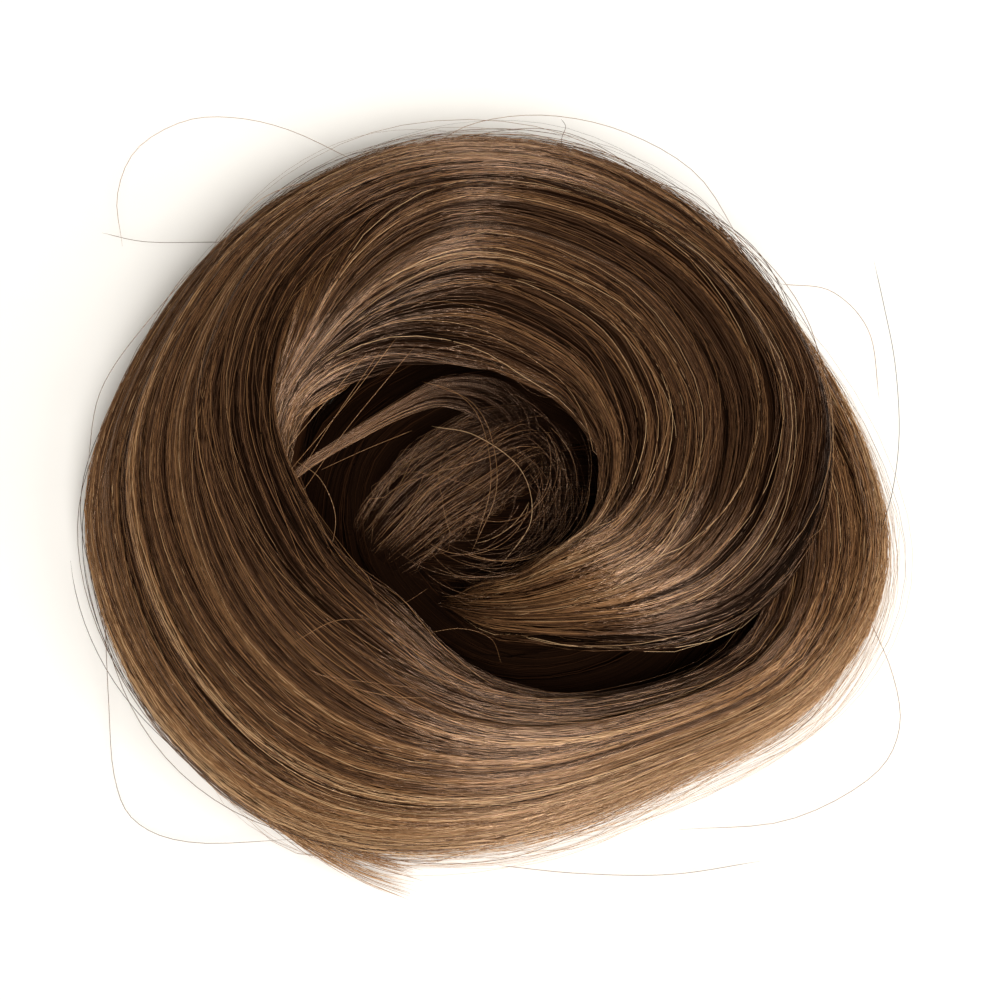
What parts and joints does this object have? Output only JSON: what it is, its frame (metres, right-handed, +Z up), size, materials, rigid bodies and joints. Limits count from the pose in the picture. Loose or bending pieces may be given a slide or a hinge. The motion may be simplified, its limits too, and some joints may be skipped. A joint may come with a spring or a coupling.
{
  "type": "clip-in hair extension",
  "caption": "Clip-in hair extension of long straight brown hair, wound into a round nest round a sunken eye, with its sewn weft and comb clip tucked underneath.",
  "frame": {"origin": "centre of the bounding box at its base, on the surface that the nest lies on", "axes": "+Z up, -Y towards the viewer of the picture, +X to the viewer's right"},
  "size_m": [0.1628, 0.1574, 0.033],
  "materials": {
    "hair": "satin, glossy along the strands",
    "weft": "matt, sewn",
    "clip": "brown enamel"
  },
  "bodies": {
    "root": {"hair_hank": "hair", "weft_band": "weft", "snap_clip": "clip"}
  },
  "joints": []
}
